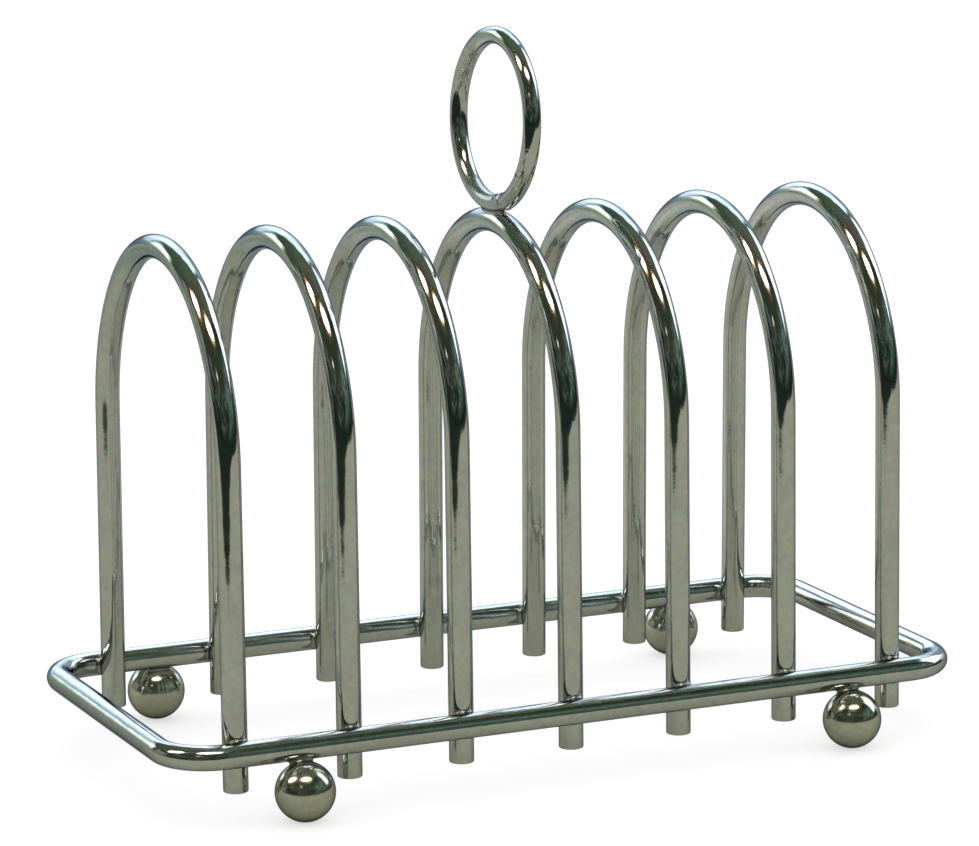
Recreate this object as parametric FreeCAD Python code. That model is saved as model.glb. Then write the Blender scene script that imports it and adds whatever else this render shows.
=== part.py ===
import FreeCAD, Part
import math
import os

# Six-slice toast rack in chrome-plated steel wire, in millimetres.
# Origin: on the table plane, under the middle of the rack. +X runs along the row of
# arches, +Y to the back, +Z up. Each arch stands in a plane square to X, so that its
# front leg is at -Y and its back leg at +Y. Every joint is a weld and nothing moves.

# Arches
ARCH_COUNT = 7
ARCH_PITCH = 24.0           # centre to centre, leaving 19 mm slots in 5 mm wire
WIRE_RADIUS = 2.5
CROWN_HEIGHT = 107.5        # wire centreline at the top of an arch
HALF_SPAN = 34.2            # wire centreline at the spring line
HAUNCH_RADIUS = 41.0        # the two side arcs of the three-centre arch
HAUNCH_END = 45.0           # degrees above the spring line where the crown arc takes over
LEG_SPLAY = 0.66            # degrees that each leg leans outwards towards its foot
LEG_FOOT_HEIGHT = 5.8       # flat-cut ends, clear of the table
END_EASE = 0.25             # rounding of a cut wire's edge

# Base frame: one wire bent to a rounded rectangle and closed on itself
FRAME_HALF_LENGTH = 85.4
FRAME_CORNER_RADIUS = 10.0
LEG_TO_RAIL = 4.0           # centre distance: the welds set the wires 1 mm into each other

# Ball feet, under the long rails and a little outboard of them
BALL_RADIUS = 6.0
BALL_X = 60.2
BALL_TO_RAIL = 8.6          # centre distance, a 0.1 mm gap filled by the weld neck
BALL_OUTWARD = 19.5         # degrees from straight below the rail

# Handle: a ring of thinner wire, welded upright on the middle arch
RING_WIRE_RADIUS = 1.85
RING_RADIUS = 17.1          # wire centreline
RING_HEIGHT = 128.1         # centre of the ring
RING_LEAN = 2.8             # degrees, top towards +X
RING_TWIST = 1.4            # degrees about Z
RING_SEAM = 248.0           # degrees round from +Y: low on the front side
RING_SEAM_GAP = 0.15        # hairline between the butted ends
RING_SEAM_STEP = 0.35       # how far the butted ends are out of line

# Welds
LEG_BEAD_RADIUS = 2.8
NECK_RADIUS = 2.4
HANDLE_BEAD_RADIUS = 1.7
HANDLE_BEAD_HALF_ANGLE = 10.5   # degrees each way along the crown

UP = FreeCAD.Vector(0, 0, 1)
ALONG = FreeCAD.Vector(1, 0, 0)
BACK = FreeCAD.Vector(0, 1, 0)

# Derived sizes
splay = math.radians(LEG_SPLAY)
haunch_end = math.radians(HAUNCH_END)
haunch_inset = (HAUNCH_RADIUS - HALF_SPAN) / math.cos(haunch_end)
crown_radius = HAUNCH_RADIUS - haunch_inset
crown_centre_z = CROWN_HEIGHT - crown_radius
spring_height = crown_centre_z - haunch_inset * math.sin(haunch_end)
rail_height = BALL_RADIUS + BALL_TO_RAIL * math.cos(math.radians(BALL_OUTWARD))
leg_y_at_rail = HALF_SPAN + (spring_height - rail_height) * math.tan(splay)
rail_y = leg_y_at_rail + LEG_TO_RAIL
ball_y = rail_y + BALL_TO_RAIL * math.sin(math.radians(BALL_OUTWARD))
arch_x = [(i - (ARCH_COUNT - 1) / 2) * ARCH_PITCH for i in range(ARCH_COUNT)]


def straight_rod(start, end, radius):
    """Round rod between two points."""
    run = end - start
    return Part.makeCylinder(radius, run.Length, start, run)


def bent_rod(centre, axis, start, degrees, radius):
    """Round rod that bends from start about an axis through centre."""
    heading = axis.cross(start - centre)
    section = Part.Face(Part.Wire(Part.Circle(start, heading, radius).toShape()))
    return section.revolve(centre, axis, degrees)


def joined(pieces):
    """One solid from rods that meet end to end."""
    solid = pieces[0].multiFuse(pieces[1:]).removeSplitter().Solids[0]
    return solid


def ease_cut_ends(rod, is_end):
    """Round the edge of each flat-cut end, picked out by is_end(edge)."""
    ends = [edge for edge in rod.Edges if is_end(edge)]
    return rod.makeFillet(END_EASE, ends)


def half_arch(x, side):
    """Leg, haunch and half of the crown, at -Y (side -1) or +Y (side 1)."""
    def point(y, z):
        return FreeCAD.Vector(x, side * y, z)

    crown_centre = point(0, crown_centre_z)
    haunch_centre = point(HALF_SPAN - HAUNCH_RADIUS, spring_height)
    top = point(0, CROWN_HEIGHT)
    quarter = point(crown_radius * math.cos(haunch_end),
                    crown_centre_z + crown_radius * math.sin(haunch_end))
    spring = point(HALF_SPAN - HAUNCH_RADIUS * (1 - math.cos(splay)),
                   spring_height + HAUNCH_RADIUS * math.sin(splay))
    leg_drop = spring.z - LEG_FOOT_HEIGHT
    foot = point(side * spring.y + leg_drop * math.tan(splay), LEG_FOOT_HEIGHT)
    axis = ALONG * -side
    return [
        bent_rod(crown_centre, axis, top, 90 - HAUNCH_END, WIRE_RADIUS),
        bent_rod(haunch_centre, axis, quarter, HAUNCH_END - LEG_SPLAY, WIRE_RADIUS),
        straight_rod(spring, foot, WIRE_RADIUS),
    ]


def arch(x):
    """Bent wire: two splayed legs under a three-centre arch."""
    rod = joined(half_arch(x, -1) + half_arch(x, 1))
    return ease_cut_ends(rod, lambda edge: edge.BoundBox.ZMax < LEG_FOOT_HEIGHT + 0.5)


def base_frame():
    """Wire bent to a rounded rectangle, lying flat."""
    corner_x = FRAME_HALF_LENGTH - FRAME_CORNER_RADIUS
    corner_y = rail_y - FRAME_CORNER_RADIUS

    def point(x, y):
        return FreeCAD.Vector(x, y, rail_height)

    rods = []
    for side in (-1, 1):
        rods.append(straight_rod(point(-corner_x, side * rail_y),
                                 point(corner_x, side * rail_y), WIRE_RADIUS))
        rods.append(straight_rod(point(side * FRAME_HALF_LENGTH, -corner_y),
                                 point(side * FRAME_HALF_LENGTH, corner_y), WIRE_RADIUS))
    for side_x in (-1, 1):
        for side_y in (-1, 1):
            corner = point(side_x * corner_x, side_y * corner_y)
            start = point(side_x * FRAME_HALF_LENGTH, side_y * corner_y)
            rods.append(bent_rod(corner, UP * (side_x * side_y), start, 90, WIRE_RADIUS))
    return joined(rods)


def ball_centre(side_x, side_y):
    return FreeCAD.Vector(side_x * BALL_X, side_y * ball_y, BALL_RADIUS)


def handle_ring():
    """Open wire circle whose two ends butt with a small step at the seam.

    Two half-circles meet smoothly opposite the seam. The second is smaller by half the
    step, so at the seam its end lies that whole step inside the first one's.
    """
    centre = FreeCAD.Vector(0, 0, 0)
    seam = math.radians(RING_SEAM)
    to_seam = FreeCAD.Vector(0, math.cos(seam), math.sin(seam))
    far_side = to_seam * -RING_RADIUS
    inner_centre = to_seam * (-RING_SEAM_STEP / 2)
    half_gap = math.degrees(RING_SEAM_GAP / 2 / RING_RADIUS)
    outer_half = bent_rod(centre, ALONG, far_side, 180 - half_gap, RING_WIRE_RADIUS)
    inner_half = bent_rod(inner_centre, ALONG * -1, far_side, 180 - half_gap, RING_WIRE_RADIUS)
    ring = joined([outer_half, inner_half])
    seam_point = to_seam * RING_RADIUS
    ring = ease_cut_ends(ring, lambda edge: edge.CenterOfMass.distanceToPoint(seam_point) < 1)
    ring.rotate(centre, UP, RING_TWIST)
    ring.rotate(centre, BACK, RING_LEAN)
    ring.translate(UP * RING_HEIGHT)
    return ring


def leg_bead(x, side, arch_wire, frame):
    """Bead round the crossing of a leg and its rail, with both wires cut out of it."""
    middle = FreeCAD.Vector(x, side * (leg_y_at_rail + LEG_TO_RAIL / 2), rail_height)
    ball = Part.makeSphere(LEG_BEAD_RADIUS, middle)
    return ball.cut(arch_wire).cut(frame).Solids[0]


def foot_neck(side_x, side_y, ball, frame):
    """Short round neck of weld metal between a ball and the rail above it."""
    start = ball_centre(side_x, side_y)
    rail = FreeCAD.Vector(start.x, side_y * rail_y, rail_height)
    neck = straight_rod(start, rail, NECK_RADIUS)
    return neck.cut(ball).cut(frame).Solids[0]


def handle_bead(ring, arch_wire):
    """Bead along the crown on both sides of the ring's foot, rounded at its ends."""
    bead_line = crown_radius + WIRE_RADIUS
    crown_centre = FreeCAD.Vector(0, 0, crown_centre_z)
    half_angle = math.radians(HANDLE_BEAD_HALF_ANGLE)
    across = BACK * (bead_line * math.sin(half_angle))
    height = UP * (crown_centre_z + bead_line * math.cos(half_angle))
    back_end = height + across
    front_end = height - across
    bead = bent_rod(crown_centre, ALONG, front_end, -2 * HANDLE_BEAD_HALF_ANGLE, HANDLE_BEAD_RADIUS)
    tips = [Part.makeSphere(HANDLE_BEAD_RADIUS, end) for end in (back_end, front_end)]
    return bead.multiFuse(tips).cut(arch_wire).cut(ring)


def save(name, shape):
    shape.exportStep("parts/" + name + ".step")
    print(name, "solids", len(shape.Solids), "valid", shape.isValid(), "volume", round(shape.Volume, 2))


os.makedirs("parts", exist_ok=True)

frame = base_frame()
save("base_frame", frame)

arches = [arch(x).cut(frame).Solids[0] for x in arch_x]
for number, wire in enumerate(arches, 1):
    save("arch_%d" % number, wire)

middle_arch = arches[ARCH_COUNT // 2]
ring = handle_ring().cut(middle_arch).Solids[0]
save("handle_ring", ring)
save("handle_weld", handle_bead(ring, middle_arch))

necks = []
for side_y, depth_name in ((-1, "front"), (1, "back")):
    beads = [leg_bead(x, side_y, wire, frame) for x, wire in zip(arch_x, arches)]
    save(depth_name + "_rail_welds", Part.makeCompound(beads))
    for side_x, end_name in ((-1, "left"), (1, "right")):
        ball = Part.makeSphere(BALL_RADIUS, ball_centre(side_x, side_y))
        save("foot_" + depth_name + "_" + end_name, ball)
        necks.append(foot_neck(side_x, side_y, ball, frame))
save("foot_welds", Part.makeCompound(necks))
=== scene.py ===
import math

import bpy
from mathutils import Matrix, Vector


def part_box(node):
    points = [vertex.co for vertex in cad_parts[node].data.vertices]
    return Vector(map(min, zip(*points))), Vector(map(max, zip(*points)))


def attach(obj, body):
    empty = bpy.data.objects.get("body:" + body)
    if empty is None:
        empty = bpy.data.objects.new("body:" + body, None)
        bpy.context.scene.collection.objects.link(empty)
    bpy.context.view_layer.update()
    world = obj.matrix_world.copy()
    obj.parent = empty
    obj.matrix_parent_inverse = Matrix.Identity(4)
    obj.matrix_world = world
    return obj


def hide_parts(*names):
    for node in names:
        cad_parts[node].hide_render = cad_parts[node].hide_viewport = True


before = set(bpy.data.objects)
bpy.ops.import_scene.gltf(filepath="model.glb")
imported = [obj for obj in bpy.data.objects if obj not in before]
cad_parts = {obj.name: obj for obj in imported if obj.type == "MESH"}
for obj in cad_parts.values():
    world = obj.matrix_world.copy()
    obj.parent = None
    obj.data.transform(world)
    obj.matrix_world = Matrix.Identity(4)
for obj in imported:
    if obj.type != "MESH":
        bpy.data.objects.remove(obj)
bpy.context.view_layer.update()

# Toast rack in chrome-plated wire, in metres, in the frame of the CAD model: +X runs
# along the row of arches, the front is at -Y, and the four balls stand on z = 0.
# Places and overall sizes are read from the CAD nodes. The values below are the ones
# that a box doesn't tell: bend radii, angles and the finer detail that is added here.

MM = 0.001
ARCHES = ["arch_%d" % number for number in range(1, 8)]
MIDDLE_ARCH = "arch_4"

HALF_SPAN = 34.2 * MM           # of an arch's centreline, where its legs begin
HAUNCH_RADIUS = 41.0 * MM
HAUNCH_END = math.radians(45)   # above the spring line, where the crown takes over
LEG_SPLAY = math.radians(0.66)
CORNER_RADIUS = 10.0 * MM       # of the base frame's centreline
RING_RADIUS = 17.1 * MM
RING_WIRE_RADIUS = 1.85 * MM
RING_LEAN = math.radians(2.8)
RING_TWIST = math.radians(1.4)
RING_SEAM = math.radians(248)
RING_SEAM_STEP = 0.35 * MM
RING_SEAM_GAP = 0.15 * MM

SIDES = 48                      # facets round a wire
BEND_STEP = math.radians(2)     # between stations along a bend
LEG_STEP = 4.0 * MM             # between stations along a straight
FINE_STEP = 0.25 * MM           # between stations beside a weld
FINE_REACH = 3.2 * MM
END_EASE = 0.3 * MM
EASE_RINGS = 4

X = Vector((1, 0, 0))
Y = Vector((0, 1, 0))
Z = Vector((0, 0, 1))

# Sizes read from the frame
frame_low, frame_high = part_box("base_frame")
WIRE_RADIUS = (frame_high.z - frame_low.z) / 2
RAIL_Z = (frame_high.z + frame_low.z) / 2
RAIL_Y = frame_high.y - WIRE_RADIUS
FRAME_HALF_LENGTH = frame_high.x - WIRE_RADIUS
arch_low, arch_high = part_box(MIDDLE_ARCH)
FOOT_Z = arch_low.z
CROWN_Z = arch_high.z - WIRE_RADIUS
haunch_inset = (HAUNCH_RADIUS - HALF_SPAN) / math.cos(HAUNCH_END)
CROWN_RADIUS = HAUNCH_RADIUS - haunch_inset
CROWN_CENTRE_Z = CROWN_Z - CROWN_RADIUS
SPRING_Z = CROWN_CENTRE_Z - haunch_inset * math.sin(HAUNCH_END)
LEG_Y = HALF_SPAN + (SPRING_Z - RAIL_Z) * math.tan(LEG_SPLAY)
ring_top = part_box("handle_ring")[1].z
RING_Z = ring_top - RING_RADIUS * math.cos(RING_LEAN) - RING_WIRE_RADIUS


# ---------------------------------------------------------------- wires

def steps(start, end, step):
    """Values from start to end, evenly spaced by about step."""
    count = max(1, math.ceil(abs(end - start) / step))
    return [start + (end - start) * i / count for i in range(count + 1)]


class Path:
    """Stations along a wire that lies in one plane: a point and the way outwards."""

    def __init__(self, normal):
        self.normal = normal
        self.stations = []

    def add(self, point, outward):
        if self.stations and (self.stations[-1][0] - point).length < 1e-7:
            return
        self.stations.append((point, outward))

    def straight(self, start, end, outward, fine_at=None):
        run = end - start
        marks = steps(0, run.length, LEG_STEP)
        if fine_at is not None:
            low = max(0, fine_at - FINE_REACH)
            high = min(run.length, fine_at + FINE_REACH)
            marks = [m for m in marks if m < low - FINE_STEP or m > high + FINE_STEP]
            marks = sorted(marks + steps(low, high, FINE_STEP))
        for mark in marks:
            self.add(start + run * (mark / run.length), outward)

    def arc(self, centre, radius, toward, across, start, end, step=BEND_STEP):
        """Bend about centre. Angles run from the direction toward to across."""
        for angle in steps(start, end, step):
            outward = toward * math.cos(angle) + across * math.sin(angle)
            self.add(centre + outward * radius, outward)


def wire_mesh(path, radius, closed=False):
    """Vertices and faces of a round wire swept along a path, with eased cut ends."""
    rings = [(point, outward, radius) for point, outward in path.stations]
    if not closed:
        eases = [(i + 1) / EASE_RINGS * math.pi / 2 for i in range(EASE_RINGS)]
        for at_end in (False, True):
            point, outward, _ = rings[-1] if at_end else rings[0]
            inner = rings[-2][0] if at_end else rings[1][0]
            heading = (point - inner).normalized()
            base = point - heading * END_EASE
            eased = [(base, outward, radius)]
            for angle in eases:
                eased.append((base + heading * END_EASE * math.sin(angle), outward,
                              radius - END_EASE * (1 - math.cos(angle))))
            if at_end:
                rings = rings[:-1] + eased
            else:
                rings = eased[::-1] + rings[1:]
    vertices = []
    for point, outward, r in rings:
        for side in range(SIDES):
            turn = 2 * math.pi * side / SIDES
            vertices.append(point + (outward * math.cos(turn) + path.normal * math.sin(turn)) * r)
    faces = []
    count = len(rings)
    for ring in range(count if closed else count - 1):
        here = ring * SIDES
        there = (ring + 1) % count * SIDES
        for side in range(SIDES):
            after = (side + 1) % SIDES
            faces.append((here + side, here + after, there + after, there + side))
    if not closed:
        faces.append(tuple(range(SIDES))[::-1])
        faces.append(tuple(range((count - 1) * SIDES, count * SIDES)))
    return vertices, faces


def new_piece(name, vertices, faces, material, node):
    """Smooth-shaded mesh object that stands for a CAD node and rides on the rack."""
    mesh = bpy.data.meshes.new(name)
    mesh.from_pydata([tuple(v) for v in vertices], [], faces)
    mesh.validate()
    for polygon in mesh.polygons:
        polygon.use_smooth = len(polygon.vertices) <= 4
    mesh.materials.append(material)
    piece = bpy.data.objects.new(name, mesh)
    bpy.context.scene.collection.objects.link(piece)
    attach(piece, "root")
    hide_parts(node)
    return piece


def on_line(through, direction):
    """Nearest point on a straight centreline."""
    def nearest(point):
        return through + direction * (point - through).dot(direction)
    return nearest


def on_circle(centre, axis, radius):
    """Nearest point on a circular centreline."""
    def nearest(point):
        flat = point - centre
        flat = flat - axis * flat.dot(axis)
        return centre + flat.normalized() * radius
    return nearest


def on_point(centre):
    """A ball's centre is its whole centreline."""
    def nearest(point):
        return centre
    return nearest


def seated(vertices, nearest, radius):
    """Press the vertices that lie inside another wire out to its surface."""
    result = []
    for vertex in vertices:
        core = nearest(vertex)
        reach = vertex - core
        if reach.length < radius:
            vertex = core + reach.normalized() * radius
        result.append(vertex)
    return result


# ---------------------------------------------------------------- weld metal

MOST_TRIES = 25
SLOPE_STEP = 1e-7
LONGEST_MOVE = 0.5 * MM
CLOSE_ENOUGH = 1e-10
FLAT = 1e-14                    # a determinant this small has no solution to move to
BORE_RADIUS = 0.3 * MM


def meet(near_a, reach_a, near_b, reach_b, place, guess):
    """Solve for the (out, up) whose place lies reach_a from A and reach_b from B."""
    out, up = guess

    def miss(out, up):
        point = place(out, up)
        return ((point - near_a(point)).length - reach_a,
                (point - near_b(point)).length - reach_b)

    for _ in range(MOST_TRIES):
        a, b = miss(out, up)
        a_out, b_out = (m - n for m, n in zip(miss(out + SLOPE_STEP, up), (a, b)))
        a_up, b_up = (m - n for m, n in zip(miss(out, up + SLOPE_STEP), (a, b)))
        determinant = (a_out * b_up - a_up * b_out) / SLOPE_STEP
        if abs(determinant) < FLAT:
            break
        move_out = -(a * b_up - b * a_up) / determinant
        move_up = -(a_out * b - b_out * a) / determinant
        out += max(-LONGEST_MOVE, min(LONGEST_MOVE, move_out))
        up += max(-LONGEST_MOVE, min(LONGEST_MOVE, move_up))
        if abs(a) + abs(b) < CLOSE_ENOUGH:
            break
    return out, up


def fillet_ring(near_a, radius_a, near_b, radius_b, middle, axis, side, fillet_at, guess,
                overlap=True, around=72, across=8, under=3):
    """Closed ring of weld metal in the groove all round where two surfaces meet.

    A small ball rolls round the groove, touching both. The weld's face is the ball's
    hollow print, and its back lies on the two surfaces. Where they overlap, the back ends
    on the line where they cross. Where they don't, it leaves a narrow bore on the axis.
    """
    other = axis.cross(side)
    loops = []
    place_guess = guess
    inner_guess = (guess[0] * 0.8, guess[1])
    for step in range(around):
        turn = 2 * math.pi * step / around
        outward = side * math.cos(turn) + other * math.sin(turn)

        def place(out, up, outward=outward):
            return middle + outward * out + axis * up

        fillet = fillet_at(turn)
        place_guess = meet(near_a, radius_a + fillet, near_b, radius_b + fillet,
                           place, place_guess)
        centre = place(*place_guess)
        to_a = (near_a(centre) - centre).normalized()
        to_b = (near_b(centre) - centre).normalized()
        between = to_a.angle(to_b)
        face = []
        for i in range(across + 1):
            share = i / across
            direction = (to_a * math.sin((1 - share) * between)
                         + to_b * math.sin(share * between))
            face.append(centre + direction / math.sin(between) * fillet)
        if overlap:
            inner_guess = meet(near_a, radius_a, near_b, radius_b, place, inner_guess)
            inner_a = inner_b = place(*inner_guess)
        else:
            hole = place(BORE_RADIUS, 0)
            inner_a = near_a(hole) + (hole - near_a(hole)).normalized() * radius_a
            inner_b = near_b(hole) + (hole - near_b(hole)).normalized() * radius_b
        loop = list(face)
        for i in range(1, under):
            point = face[-1].lerp(inner_b, i / under)
            core = near_b(point)
            loop.append(core + (point - core).normalized() * radius_b)
        loop.append(inner_b)
        if not overlap:
            loop.append(inner_a)
        for i in range(under - 1, 0, -1):
            point = face[0].lerp(inner_a, i / under)
            core = near_a(point)
            loop.append(core + (point - core).normalized() * radius_a)
        loops.append(loop)
    vertices = [v for loop in loops for v in loop]
    size = len(loops[0])
    faces = []
    for i in range(around):
        here = i * size
        there = (i + 1) % around * size
        for j in range(size):
            after = (j + 1) % size
            faces.append((here + j, there + j, there + after, here + after))
    return vertices, faces


def together(parts):
    """One list of vertices and faces from several."""
    vertices = []
    faces = []
    for more_vertices, more_faces in parts:
        shift = len(vertices)
        vertices += more_vertices
        faces += [tuple(index + shift for index in face) for face in more_faces]
    return vertices, faces


# ---------------------------------------------------------------- materials

# Texture scales, per metre
HAZE_SCALE = 160
STAIN_SCALE = 800
RIPPLE_SCALE = 110
GRAIN_SCALE = 1300
PIT_SCALE = 460
PIT_CLUSTER_SCALE = 300

STAIN_STRENGTH = 0.38
ASLANT_TINT = (0.27, 0.33, 0.41, 1)
SCORCH_EDGE = (12 * MM, 22 * MM)        # from where to where the dull plate round a weld fades
SCORCH_HAZE = 14 * MM                   # how far the haze shifts that edge
SCORCH_ROUGHNESS = 0.20
PITS_EDGE = (18 * MM, 24 * MM)
PITS_SIDE_EDGE = (0, 4 * MM)            # only on the front side of the weld
PIT_DEPTH = 0.08 * MM
PIT_COLOUR = (0.05, 0.06, 0.06, 1)


def material_nodes(name):
    material = bpy.data.materials.new(name)
    material.use_nodes = True
    return material, material.node_tree.nodes, material.node_tree.links


def noise(nodes, links, vector, scale, detail=2.0, roughness=0.5):
    node = nodes.new("ShaderNodeTexNoise")
    node.inputs["Scale"].default_value = scale
    node.inputs["Detail"].default_value = detail
    node.inputs["Roughness"].default_value = roughness
    links.new(vector, node.inputs["Vector"])
    return node.outputs["Fac"]


def ramp(nodes, links, value, low, high, out_low, out_high):
    node = nodes.new("ShaderNodeMapRange")
    node.inputs["From Min"].default_value = low
    node.inputs["From Max"].default_value = high
    node.inputs["To Min"].default_value = out_low
    node.inputs["To Max"].default_value = out_high
    links.new(value, node.inputs["Value"])
    return node.outputs["Result"]


def dot(nodes, links, vector, direction):
    node = nodes.new("ShaderNodeVectorMath")
    node.operation = "DOT_PRODUCT"
    node.inputs[1].default_value = tuple(direction)
    links.new(vector, node.inputs[0])
    return node.outputs["Value"]


def math_node(nodes, links, operation, *values):
    node = nodes.new("ShaderNodeMath")
    node.operation = operation
    for socket, value in zip(node.inputs, values):
        if isinstance(value, (int, float)):
            socket.default_value = value
        else:
            links.new(value, socket)
    return node.outputs["Value"]


def mixed(nodes, links, factor, a, b):
    """Colour a where factor is 0 and b where it is 1. Each may be a colour or a socket."""
    node = nodes.new("ShaderNodeMix")
    node.data_type = "RGBA"
    node.clamp_factor = True
    for socket, value in ((node.inputs["A"], a), (node.inputs["B"], b)):
        if isinstance(value, tuple):
            socket.default_value = value
        else:
            links.new(value, socket)
    links.new(factor, node.inputs["Factor"])
    return node.outputs["Result"]


def bump(nodes, links, height, distance, strength=1.0, before=None):
    node = nodes.new("ShaderNodeBump")
    node.inputs["Strength"].default_value = strength
    node.inputs["Distance"].default_value = distance
    links.new(height, node.inputs["Height"])
    if before is not None:
        links.new(before, node.inputs["Normal"])
    return node.outputs["Normal"]


def chrome(name, ripple_depth, grain_depth, roughness_low, roughness_high,
           dark=(0.515, 0.525, 0.515, 1), bright=(0.575, 0.585, 0.575, 1), burnt_at=None):
    """Bright chromium plate over slow ripples and a fine grain, hazy and stained in places.

    Seen aslant it dulls to a bluish grey. Near burnt_at, where it was welded, it is dull
    and has small dark pits.
    """
    material, nodes, links = material_nodes(name)
    shader = nodes["Principled BSDF"]
    shader.inputs["Metallic"].default_value = 1.0
    shader.inputs["Specular Tint"].default_value = ASLANT_TINT
    where = nodes.new("ShaderNodeTexCoord").outputs["Object"]
    haze = noise(nodes, links, where, HAZE_SCALE, 3.0, 0.6)
    worn = ramp(nodes, links, haze, 0.3, 0.7, 0, 1)
    plate = mixed(nodes, links, worn, dark, bright)
    stain = nodes.new("ShaderNodeTexNoise")
    stain.inputs["Scale"].default_value = STAIN_SCALE
    stain.inputs["Detail"].default_value = 3.0
    links.new(where, stain.inputs["Vector"])
    tinted = nodes.new("ShaderNodeMix")
    tinted.data_type = "RGBA"
    tinted.blend_type = "OVERLAY"
    tinted.inputs["Factor"].default_value = STAIN_STRENGTH
    links.new(plate, tinted.inputs["A"])
    links.new(stain.outputs["Color"], tinted.inputs["B"])
    colour = tinted.outputs["Result"]
    rough = ramp(nodes, links, haze, 0.3, 0.7, roughness_low, roughness_high)
    ripple = noise(nodes, links, where, RIPPLE_SCALE, 1.0)
    grain = noise(nodes, links, where, GRAIN_SCALE, 3.0)
    normal = bump(nodes, links, ripple, ripple_depth)
    normal = bump(nodes, links, grain, grain_depth, before=normal)
    if burnt_at is not None:
        distance = nodes.new("ShaderNodeVectorMath")
        distance.operation = "DISTANCE"
        links.new(where, distance.inputs[0])
        distance.inputs[1].default_value = tuple(burnt_at)
        distance = distance.outputs["Value"]
        patchy = math_node(nodes, links, "MULTIPLY_ADD", haze, SCORCH_HAZE, distance)
        dull = ramp(nodes, links, patchy, *SCORCH_EDGE, SCORCH_ROUGHNESS, 0)
        rough = math_node(nodes, links, "ADD", rough, dull)
        cells = nodes.new("ShaderNodeTexVoronoi")
        cells.inputs["Scale"].default_value = PIT_SCALE
        links.new(where, cells.inputs["Vector"])
        dent = ramp(nodes, links, cells.outputs["Distance"], 0.15, 0.25, 1, 0)
        cluster = noise(nodes, links, where, PIT_CLUSTER_SCALE, 1.0)
        cluster = ramp(nodes, links, cluster, 0.36, 0.44, 0, 1)
        near = ramp(nodes, links, distance, *PITS_EDGE, 1, 0)
        near_side = ramp(nodes, links, dot(nodes, links, where, -Y), *PITS_SIDE_EDGE, 0, 1)
        near = math_node(nodes, links, "MULTIPLY", near, near_side)
        pit = math_node(nodes, links, "MULTIPLY", dent,
                        math_node(nodes, links, "MULTIPLY", cluster, near))
        colour = mixed(nodes, links, pit, colour, PIT_COLOUR)
        normal = bump(nodes, links, pit, -PIT_DEPTH, before=normal)
    links.new(colour, shader.inputs["Base Color"])
    links.new(rough, shader.inputs["Roughness"])
    links.new(normal, shader.inputs["Normal"])
    return material


arch_chrome = chrome("arch_chrome", 0.10 * MM, 0.006 * MM, 0.06, 0.11)
frame_chrome = chrome("frame_chrome", 0.10 * MM, 0.006 * MM, 0.08, 0.17)
foot_chrome = chrome("foot_chrome", 0.04 * MM, 0.004 * MM, 0.11, 0.19,
                     (0.53, 0.52, 0.44, 1), (0.585, 0.575, 0.50, 1))
handle_chrome = chrome("handle_chrome", 0.12 * MM, 0.010 * MM, 0.06, 0.13,
                       burnt_at=(0, 0, CROWN_Z + WIRE_RADIUS))
weld_chrome = chrome("weld_chrome", 0.10 * MM, 0.030 * MM, 0.24, 0.34,
                     (0.33, 0.325, 0.295, 1), (0.44, 0.43, 0.40, 1))


# ---------------------------------------------------------------- pieces

def arch_path(x):
    """From the front foot up over the crown to the back foot."""
    path = Path(X)

    def leg(side):
        spring = Vector((x, side * (HALF_SPAN - HAUNCH_RADIUS * (1 - math.cos(LEG_SPLAY))),
                         SPRING_Z + HAUNCH_RADIUS * math.sin(LEG_SPLAY)))
        drop = spring.z - FOOT_Z
        foot = Vector((x, spring.y + side * drop * math.tan(LEG_SPLAY), FOOT_Z))
        outward = Vector((0, side * math.cos(LEG_SPLAY), math.sin(LEG_SPLAY)))
        return spring, foot, outward

    spring, foot, outward = leg(-1)
    rail_mark = (RAIL_Z - FOOT_Z) / math.cos(LEG_SPLAY)
    path.straight(foot, spring, outward, rail_mark)
    crown_centre = Vector((x, 0, CROWN_CENTRE_Z))
    haunch_y = HALF_SPAN - HAUNCH_RADIUS
    path.arc(Vector((x, -haunch_y, SPRING_Z)), HAUNCH_RADIUS, -Y, Z, LEG_SPLAY, HAUNCH_END)
    path.arc(crown_centre, CROWN_RADIUS, -Y, Z, HAUNCH_END, math.pi - HAUNCH_END)
    path.arc(Vector((x, haunch_y, SPRING_Z)), HAUNCH_RADIUS, Y, Z, HAUNCH_END, LEG_SPLAY)
    spring, foot, outward = leg(1)
    path.straight(spring, foot, outward, (spring - foot).length - rail_mark)
    return path


def make_arches():
    for number, node in enumerate(ARCHES, 1):
        low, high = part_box(node)
        vertices, faces = wire_mesh(arch_path((low.x + high.x) / 2), WIRE_RADIUS)
        for side in (-1, 1):
            rail = on_line(Vector((0, side * RAIL_Y, RAIL_Z)), X)
            vertices = seated(vertices, rail, WIRE_RADIUS)
        new_piece("arch_wire_%d" % number, vertices, faces, arch_chrome, node)


def make_frame():
    path = Path(Z)
    corner_x = FRAME_HALF_LENGTH - CORNER_RADIUS
    corner_y = RAIL_Y - CORNER_RADIUS
    for quarter in range(4):
        outward = Matrix.Rotation(quarter * math.pi / 2, 3, "Z") @ X
        onward = Matrix.Rotation(quarter * math.pi / 2, 3, "Z") @ Y
        corner_sign = outward + onward
        corner = Vector((corner_sign.x * corner_x, corner_sign.y * corner_y, RAIL_Z))
        before = corner + outward * CORNER_RADIUS
        back = corner_y if quarter % 2 == 0 else corner_x
        path.straight(before - onward * 2 * back, before, outward)
        path.arc(corner, CORNER_RADIUS, outward, onward, 0, math.pi / 2, math.radians(4))
    stations = path.stations
    if (stations[0][0] - stations[-1][0]).length < 1e-7:
        stations.pop()
    vertices, faces = wire_mesh(path, WIRE_RADIUS, closed=True)
    new_piece("frame_wire", vertices, faces, frame_chrome, "base_frame")


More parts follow.
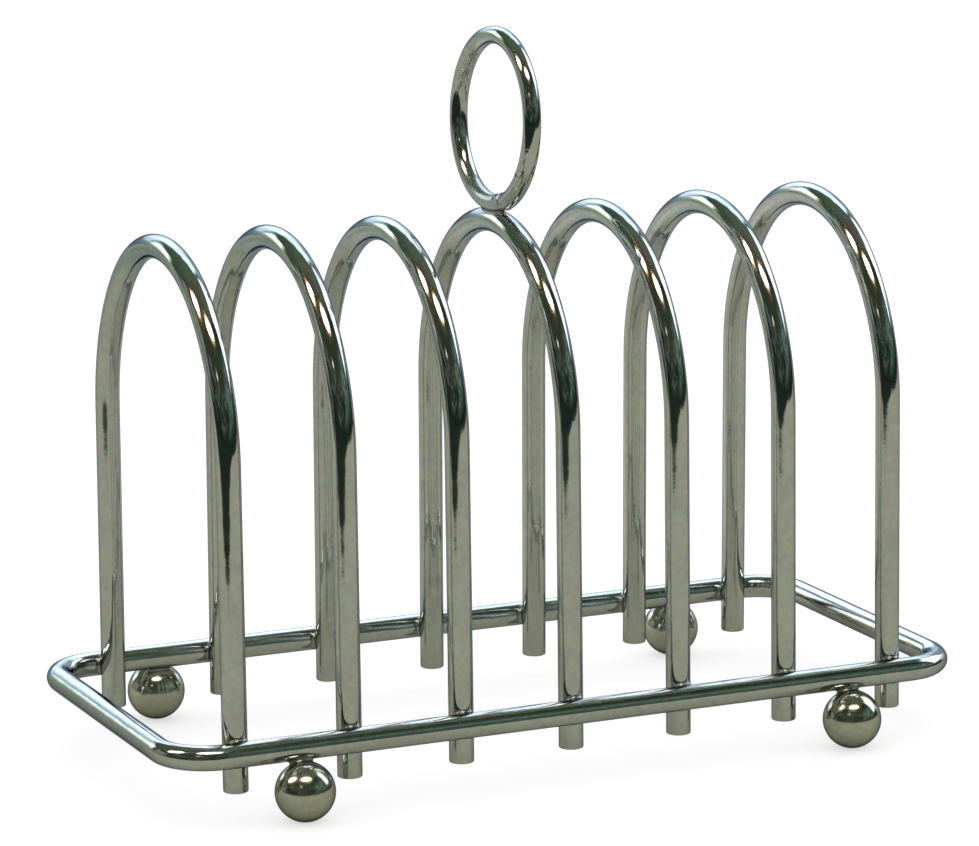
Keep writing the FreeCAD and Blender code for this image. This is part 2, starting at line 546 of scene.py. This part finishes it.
def sphere_mesh(centre, radius, rounds=72, levels=48):
    """Ball of evenly stepped circles of latitude, with a small fan at each pole."""
    vertices = [centre - Z * radius]
    for level in range(1, levels):
        tilt = math.pi * level / levels
        for i in range(rounds):
            turn = 2 * math.pi * i / rounds
            vertices.append(centre + Vector((math.sin(tilt) * math.cos(turn),
                                             math.sin(tilt) * math.sin(turn),
                                             -math.cos(tilt))) * radius)
    vertices.append(centre + Z * radius)
    top = len(vertices) - 1
    faces = []
    for i in range(rounds):
        after = (i + 1) % rounds
        faces.append((0, 1 + after, 1 + i))
        last = 1 + (levels - 2) * rounds
        faces.append((top, last + i, last + after))
    for level in range(levels - 2):
        low = 1 + level * rounds
        high = low + rounds
        for i in range(rounds):
            after = (i + 1) % rounds
            faces.append((low + i, low + after, high + after, high + i))
    return vertices, faces


def make_feet():
    def neck_fillet(turn):
        return (0.38 * math.cos(turn) ** 2 + 0.55 * math.sin(turn) ** 2) * MM

    necks = []
    for depth, side_y in (("front", -1), ("back", 1)):
        for end in ("left", "right"):
            node = "foot_%s_%s" % (depth, end)
            low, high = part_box(node)
            centre = (low + high) / 2
            radius = (high.z - low.z) / 2
            vertices, faces = sphere_mesh(centre, radius)
            new_piece("ball_%s_%s" % (depth, end), vertices, faces, foot_chrome, node)
            rail = Vector((centre.x, side_y * RAIL_Y, RAIL_Z))
            axis = (rail - centre).normalized()
            gap = (rail - centre).length - radius - WIRE_RADIUS
            gap_middle = centre + axis * (radius + gap / 2)
            necks.append(fillet_ring(on_point(centre), radius, on_line(rail, X), WIRE_RADIUS,
                                     gap_middle, axis, X, neck_fillet, (2.8 * MM, 0),
                                     overlap=False))
    vertices, faces = together(necks)
    new_piece("foot_weld_necks", vertices, faces, weld_chrome, "foot_welds")


def make_rail_welds():
    for depth, side in (("front", -1), ("back", 1)):
        beads = []
        for number, node in enumerate(ARCHES):
            low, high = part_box(node)
            x = (low.x + high.x) / 2
            leg_direction = Vector((0, -side * math.sin(LEG_SPLAY), math.cos(LEG_SPLAY)))
            leg = on_line(Vector((x, side * LEG_Y, RAIL_Z)), leg_direction)
            rail = on_line(Vector((x, side * RAIL_Y, RAIL_Z)), X)
            middle = Vector((x, side * (LEG_Y + RAIL_Y) / 2, RAIL_Z))

            def bead_fillet(turn, number=number):
                return (0.62 + 0.10 * math.sin(2 * turn + number * 1.7)
                        + 0.06 * math.sin(3 * turn + number * 2.9)) * MM

            beads.append(fillet_ring(leg, WIRE_RADIUS, rail, WIRE_RADIUS, middle, Y * side, X,
                                     bead_fillet, (2.9 * MM, -1.0 * MM)))
        vertices, faces = together(beads)
        new_piece(depth + "_rail_weld_beads", vertices, faces, weld_chrome,
                  depth + "_rail_welds")


def ring_frame():
    """From the upright ring at the origin to its place on the middle arch."""
    lean = Matrix.Rotation(RING_LEAN, 4, "Y")
    twist = Matrix.Rotation(RING_TWIST, 4, "Z")
    return Matrix.Translation(Z * RING_Z) @ lean @ twist


def make_handle():
    to_place = ring_frame()
    toward_seam = Y * math.cos(RING_SEAM) + Z * math.sin(RING_SEAM)
    sideways = X.cross(toward_seam)
    half_gap = RING_SEAM_GAP / 2 / RING_RADIUS
    inner_centre = toward_seam * (-RING_SEAM_STEP / 2)
    inner_radius = RING_RADIUS - RING_SEAM_STEP / 2
    path = Path(X)
    path.arc(inner_centre, inner_radius, toward_seam, sideways, half_gap, math.pi)
    path.arc(Vector((0, 0, 0)), RING_RADIUS, toward_seam, sideways, math.pi,
             2 * math.pi - half_gap)
    vertices, faces = wire_mesh(path, RING_WIRE_RADIUS)
    vertices = [to_place @ v for v in vertices]
    crown = on_circle(Vector((0, 0, CROWN_CENTRE_Z)), X, CROWN_RADIUS)
    vertices = seated(vertices, crown, WIRE_RADIUS)
    new_piece("ring_wire", vertices, faces, handle_chrome, "handle_ring")

    ring_centre = to_place @ inner_centre
    ring_axis = (to_place.to_3x3() @ X).normalized()
    ring = on_circle(ring_centre, ring_axis, inner_radius)
    foot = ring(Vector((0, 0, CROWN_Z)))
    crown_top = crown(foot)
    axis = (foot - crown_top).normalized()
    side = X - axis * X.dot(axis)
    middle = crown_top + axis * (WIRE_RADIUS - 0.35 * MM)

    def handle_fillet(turn):
        return (0.50 * math.cos(turn) ** 2 + 0.34 * math.sin(turn) ** 2
                + 0.06 * math.sin(3 * turn + 1)) * MM

    vertices, faces = fillet_ring(crown, WIRE_RADIUS, ring, RING_WIRE_RADIUS, middle, axis,
                                  side.normalized(), handle_fillet, (1.9 * MM, 0),
                                  around=160)
    new_piece("ring_weld_bead", vertices, faces, weld_chrome, "handle_weld")


make_arches()
make_frame()
make_feet()
make_rail_welds()
make_handle()


# ---------------------------------------------------------------- camera

CAMERA_AZIMUTH = math.radians(-24.106)
CAMERA_ELEVATION = math.radians(11.945)
CAMERA_ROLL = math.radians(-0.489)
CAMERA_DISTANCE = 966.9 * MM
CAMERA_TARGET = Vector((-1.7 * MM, 0, 65.7 * MM))
LENS = 174.0

toward_camera = Vector((math.sin(CAMERA_AZIMUTH), -math.cos(CAMERA_AZIMUTH), 0))
camera_right = Vector((math.cos(CAMERA_AZIMUTH), math.sin(CAMERA_AZIMUTH), 0))


def make_camera():
    data = bpy.data.cameras.new("camera")
    data.lens = LENS
    data.sensor_width = 36
    data.clip_start = 0.01
    data.clip_end = 50
    camera = bpy.data.objects.new("camera", data)
    bpy.context.scene.collection.objects.link(camera)
    back = toward_camera * math.cos(CAMERA_ELEVATION) + Z * math.sin(CAMERA_ELEVATION)
    up = back.cross(camera_right)
    right = camera_right * math.cos(CAMERA_ROLL) + up * math.sin(CAMERA_ROLL)
    up = back.cross(right)
    turn = Matrix((right, up, back)).transposed().to_4x4()
    camera.matrix_world = Matrix.Translation(CAMERA_TARGET + back * CAMERA_DISTANCE) @ turn
    bpy.context.scene.camera = camera


make_camera()


# ---------------------------------------------------------------- floor, surroundings and light

# Bearings are counted round from the camera's side, clockwise seen from above, so that
# +90 is to the camera's right. Reflections see a dark room with a window far behind the
# rack, two warm lamps, and a table top that ends in front. The light itself is soft,
# white and even, and to the camera the floor and the background are plain and pale.

FLOOR_HALF = 12.0
FLOOR_GLOW = 0.60
FLOOR_PALE = 0.45
DOME = 1.16                     # radiance of the soft studio light

TABLE_TONE = (0.410, 0.425, 0.330, 1)
PAST_TABLE_TONE = (0.018, 0.029, 0.022, 1)
# How far from the rack an edge is, its bearing, and how steeply it falls back to each side
TABLE_EDGES = ((282 * MM, -27, 0.20), (500 * MM, -30, 0), (1150 * MM, 62, 0))
EDGE_SOFTNESS = 1 * MM

# Painted light: the table top is drawn brighter on the window side, as if lit from the window
WINDOW_LIT_TABLE_TONE = (0.660, 0.680, 0.590, 1)
BACK_BEARING = -170
BACK_SPREAD = (0.60, 0.78)              # cosine of the bearing's difference
BACK_START = (60 * MM, 150 * MM)

# Painted light: a lighter streak on the table below something white at its far end
LIT_STRIP_TONE = (0.420, 0.490, 0.350, 1)
STRIP_BEARING = -127
STRIP_SPREAD = (0.06, 0.14)             # tangent of the bearing's difference
STRIP_START = (250 * MM, 400 * MM)


# Shapes in the surroundings, painted in this order, with angles in degrees. A patch has a
# bearing, half width, lowest and highest elevation, softness and perhaps a lean. A disc
# has a bearing, elevation, half width, half height, softness and perhaps a lean. Its tone
# follows. The bare room is olive.
ROOM_RISE = (26, 66)                    # elevations between which the bare room brightens
ROOM_LOW_TONE = (0.064, 0.103, 0.060, 1)
ROOM_HIGH_TONE = (0.125, 0.165, 0.112, 1)
ROOM = (
    ((15, 88, -90, 26, 30), (0.015, 0.026, 0.020)),     # near black in front
    ((-5, 60, 26, 46, 10), (0.046, 0.062, 0.038)),
    ((72, 24, 10, 36, 8), (0.060, 0.115, 0.085)),
    ((76, 14, 46, 56, 6), (0.024, 0.038, 0.030)))
# Dim things along the walls, broken up by a noise that is stretched level
THINGS_SCALE = 6.0
THINGS_STRETCH = (1.0, 1.0, 3.0)
THINGS = (
    ((66, 20, 12, 32, 6), (0.46, 0.60, 0.52)),
    ((-90, 13, 6, 21, 6), (0.84, 0.88, 0.76)),
    ((-10, 70, 8, 26, 6), (0.18, 0.22, 0.18)))
# A window behind the rack and what is round it
BEHIND = (
    ((-91, 8, 6, 18, 5), (0.32, 0.36, 0.31)),
    ((-108, 16, -10, 9, 6), (0.27, 0.30, 0.25)),
    ((-155, 22, -10, 8, 5), (0.38, 0.45, 0.47)),        # grey wall below the window
    ((155, 26, -10, 14, 5), (0.50, 0.56, 0.66)),
    ((-143, 16, 14, 54, 8, 0.6), (0.09, 0.33, 0.34)),   # teal where the light falls off
    ((168, 22, 18, 60, 5), (0.09, 0.28, 0.29)),
    ((120, 21, 14, 54, 6), (0.09, 0.22, 0.24)),
    ((-145, 7, 9, 27, 6), (0.48, 0.76, 0.80)),          # panes
    ((-148, 13, 13, 50, 4, 0.6), (1.70, 2.05, 2.25)),
    ((169, 17, 17, 58, 4), (1.75, 2.05, 2.20)),
    ((-169, 11, 14, 37, 5), (3.00, 3.20, 3.20)),
    ((156, 8, 13, 32, 6), (0.60, 0.74, 0.86)),
    ((136, 9, 8, 20, 4), (1.00, 1.10, 1.15)),
    ((120.5, 20, 17, 50, 4), (2.20, 2.30, 2.30)),
    ((146, 1.0, 18, 58, 1.0), (0.05, 0.09, 0.09)),      # bar between two panes
    ((STRIP_BEARING, 7, 4, 9, 3), (0.64, 0.72, 0.48)),  # something white beside them
    ((STRIP_BEARING - 2, 7, 13, 25, 4), (2.40, 2.55, 2.40)))
# Lights overhead and in front
OVERHEAD_GLOW = ((-45, 76, 15, 8, 1.0), (0.150, 0.100, 0.085))
SMALL_LIGHT = ((-15, 33, 2.6, 1.6, 1.0), (2.60, 2.20, 1.80))
# Two lamps: bearing, elevation, half width, half height and lean
LAMPS = ((-74, 45.5, 6.5, 10.5, 0.45), (10, 62.5, 15, 5.6, 0))
# Margin round the lamp, softness and tone of its halo, warm rim and bright middle
LAMP_LAYERS = (
    (6, 1.5, (0.080, 0.072, 0.040)),
    (2.4, 0.3, (0.95, 0.54, 0.07)),
    (0, 0.4, (8, 8, 7.4)))
# The surroundings are bent a little, so that their edges aren't ruled lines
WOBBLE = 0.10
WOBBLE_SCALE = 9.0


def heading(bearing):
    """Level direction at a bearing in degrees."""
    turn = math.radians(bearing)
    return toward_camera * math.cos(turn) + camera_right * math.sin(turn)


def make_floor():
    """Pale floor. In reflections it is a beige table top, with painted light towards the window
    and in a streak, that ends in front of the rack.
    """
    mesh = bpy.data.meshes.new("floor")
    corners = [(-FLOOR_HALF, -FLOOR_HALF, 0), (FLOOR_HALF, -FLOOR_HALF, 0),
               (FLOOR_HALF, FLOOR_HALF, 0), (-FLOOR_HALF, FLOOR_HALF, 0)]
    mesh.from_pydata(corners, [], [(0, 1, 2, 3)])
    floor = bpy.data.objects.new("floor", mesh)
    bpy.context.scene.collection.objects.link(floor)
    material, nodes, links = material_nodes("floor")
    nodes.clear()
    where = nodes.new("ShaderNodeNewGeometry").outputs["Position"]
    away = nodes.new("ShaderNodeVectorMath")
    away.operation = "LENGTH"
    links.new(where, away.inputs[0])
    away = away.outputs["Value"]
    # painted light from the window: the table is drawn brighter towards it
    behind = dot(nodes, links, where, heading(BACK_BEARING))
    behind = math_node(nodes, links, "DIVIDE", behind, away)
    behind = math_node(nodes, links, "MULTIPLY", ramp(nodes, links, behind, *BACK_SPREAD, 0, 1),
                       ramp(nodes, links, away, *BACK_START, 0, 1))
    tone = mixed(nodes, links, behind, TABLE_TONE, WINDOW_LIT_TABLE_TONE)
    # painted light: a lighter streak across the table towards something white
    along = dot(nodes, links, where, heading(STRIP_BEARING))
    beside = dot(nodes, links, where, heading(STRIP_BEARING + 90))
    aside = math_node(nodes, links, "ABSOLUTE", math_node(nodes, links, "DIVIDE", beside, along))
    within = math_node(nodes, links, "MULTIPLY", ramp(nodes, links, aside, *STRIP_SPREAD, 1, 0),
                       ramp(nodes, links, along, *STRIP_START, 0, 1))
    tone = mixed(nodes, links, within, tone, LIT_STRIP_TONE)
    for distance, bearing, taper in TABLE_EDGES:
        ahead = dot(nodes, links, where, heading(bearing))
        beside = dot(nodes, links, where, heading(bearing + 90))
        beside = math_node(nodes, links, "ABSOLUTE", beside)
        reach = math_node(nodes, links, "MULTIPLY_ADD", beside, -taper, ahead)
        past_edge = ramp(nodes, links, reach, distance - EDGE_SOFTNESS,
                         distance + EDGE_SOFTNESS, 0, 1)
        tone = mixed(nodes, links, past_edge, tone, PAST_TABLE_TONE)
    table = nodes.new("ShaderNodeBsdfDiffuse")
    links.new(tone, table.inputs["Color"])
    pale = nodes.new("ShaderNodeBsdfDiffuse")
    pale.inputs["Color"].default_value = (FLOOR_PALE, FLOOR_PALE, FLOOR_PALE, 1)
    glow = nodes.new("ShaderNodeEmission")
    glow.inputs["Color"].default_value = (FLOOR_GLOW, FLOOR_GLOW, FLOOR_GLOW, 1)
    both = nodes.new("ShaderNodeAddShader")
    links.new(pale.outputs["BSDF"], both.inputs[0])
    links.new(glow.outputs["Emission"], both.inputs[1])
    seen = nodes.new("ShaderNodeLightPath").outputs["Is Camera Ray"]
    blend = nodes.new("ShaderNodeMixShader")
    links.new(seen, blend.inputs["Fac"])
    links.new(table.outputs["BSDF"], blend.inputs[1])
    links.new(both.outputs["Shader"], blend.inputs[2])
    output = nodes.new("ShaderNodeOutputMaterial")
    links.new(blend.outputs["Shader"], output.inputs["Surface"])
    mesh.materials.append(material)


def make_surroundings():
    """What the chrome reflects above the table, under a soft white dome of light."""
    world = bpy.data.worlds.new("surroundings")
    bpy.context.scene.world = world
    world.cycles.sampling_method = "NONE"
    world.use_nodes = True
    nodes = world.node_tree.nodes
    links = world.node_tree.links
    nodes.clear()
    direction = nodes.new("ShaderNodeTexCoord").outputs["Generated"]

    wobble = nodes.new("ShaderNodeTexNoise")
    wobble.inputs["Scale"].default_value = WOBBLE_SCALE
    links.new(direction, wobble.inputs["Vector"])
    shift = nodes.new("ShaderNodeVectorMath")
    shift.operation = "MULTIPLY_ADD"
    links.new(wobble.outputs["Color"], shift.inputs[0])
    shift.inputs[1].default_value = (WOBBLE, WOBBLE, WOBBLE)
    links.new(direction, shift.inputs[2])
    centred = nodes.new("ShaderNodeVectorMath")
    centred.operation = "SUBTRACT"
    links.new(shift.outputs["Vector"], centred.inputs[0])
    centred.inputs[1].default_value = (WOBBLE / 2, WOBBLE / 2, WOBBLE / 2)
    straight = nodes.new("ShaderNodeVectorMath")
    straight.operation = "NORMALIZE"
    links.new(centred.outputs["Vector"], straight.inputs[0])
    where = straight.outputs["Vector"]
    height = math_node(nodes, links, "ARCSINE", dot(nodes, links, where, Z))

    def patch(bearing, half_width, low, high, soft, lean=0.0):
        """1 within half_width of a bearing and between two heights, all in degrees.

        With a lean the patch shifts towards lower bearings the higher it goes.
        """
        along = dot(nodes, links, where, heading(bearing))
        beside = dot(nodes, links, where, heading(bearing + 90))
        level = math_node(nodes, links, "ARCTAN2", beside, along)
        if lean:
            level = math_node(nodes, links, "MULTIPLY_ADD", height, lean, level)
        off = math_node(nodes, links, "ABSOLUTE", level)
        half_width, low, high, soft = (math.radians(v) for v in (half_width, low, high, soft))
        across = ramp(nodes, links, off, half_width, half_width + soft, 1, 0)
        above = ramp(nodes, links, height, low - soft, low, 0, 1)
        below = ramp(nodes, links, height, high, high + soft, 1, 0)
        return math_node(nodes, links, "MULTIPLY", across,
                         math_node(nodes, links, "MULTIPLY", above, below))

    def disc(bearing, elevation, half_width, half_height, soft, lean=0.0):
        """1 inside an oval round a direction. Soft is a share of its size.

        With a lean its top is shifted towards higher bearings.
        """
        rise = math.radians(elevation)
        ahead = heading(bearing) * math.cos(rise) + Z * math.sin(rise)
        side = heading(bearing + 90)
        upward = ahead.cross(side)
        beside = math_node(nodes, links, "DIVIDE",
                           dot(nodes, links, direction, side - upward * lean),
                           math.sin(math.radians(half_width)))
        over = math_node(nodes, links, "DIVIDE", dot(nodes, links, direction, upward),
                         math.sin(math.radians(half_height)))
        reach = math_node(nodes, links, "POWER", beside, 2)
        reach = math_node(nodes, links, "MULTIPLY_ADD", over, over, reach)
        inside = ramp(nodes, links, reach, 1, 1 + soft, 1, 0)
        front = ramp(nodes, links, dot(nodes, links, direction, ahead), 0.1, 0.2, 0, 1)
        return math_node(nodes, links, "MULTIPLY", inside, front)

    upper = ramp(nodes, links, height, *(math.radians(angle) for angle in ROOM_RISE), 0, 1)
    colour = mixed(nodes, links, upper, ROOM_LOW_TONE, ROOM_HIGH_TONE)
    for shape, tone in ROOM:
        colour = mixed(nodes, links, patch(*shape), colour, (*tone, 1))
    stretch = nodes.new("ShaderNodeVectorMath")
    stretch.operation = "MULTIPLY"
    links.new(direction, stretch.inputs[0])
    stretch.inputs[1].default_value = THINGS_STRETCH
    clutter = noise(nodes, links, stretch.outputs["Vector"], THINGS_SCALE, 4.0, 0.6)
    things = ramp(nodes, links, clutter, 0.50, 0.62, 0, 1)
    for shape, tone in THINGS:
        there = math_node(nodes, links, "MULTIPLY", patch(*shape), things)
        colour = mixed(nodes, links, there, colour, (*tone, 1))
    for shape, tone in BEHIND:
        colour = mixed(nodes, links, patch(*shape), colour, (*tone, 1))

    shape, tone = OVERHEAD_GLOW
    colour = mixed(nodes, links, disc(*shape), colour, (*tone, 1))
    for bearing, elevation, half_width, half_height, lean in LAMPS:
        for margin, soft, tone in LAMP_LAYERS:
            inside = disc(bearing, elevation, half_width + margin, half_height + margin, soft,
                          lean)
            colour = mixed(nodes, links, inside, colour, (*tone, 1))
    shape, tone = SMALL_LIGHT
    colour = mixed(nodes, links, disc(*shape), colour, (*tone, 1))

    rays = nodes.new("ShaderNodeLightPath")
    colour = mixed(nodes, links, rays.outputs["Is Diffuse Ray"], colour, (DOME, DOME, DOME, 1))
    colour = mixed(nodes, links, rays.outputs["Is Camera Ray"], colour, (1, 1, 1, 1))
    background = nodes.new("ShaderNodeBackground")
    links.new(colour, background.inputs["Color"])
    output = nodes.new("ShaderNodeOutputWorld")
    links.new(background.outputs["Background"], output.inputs["Surface"])


make_floor()
make_surroundings()
bpy.context.scene.view_settings.view_transform = "Standard"
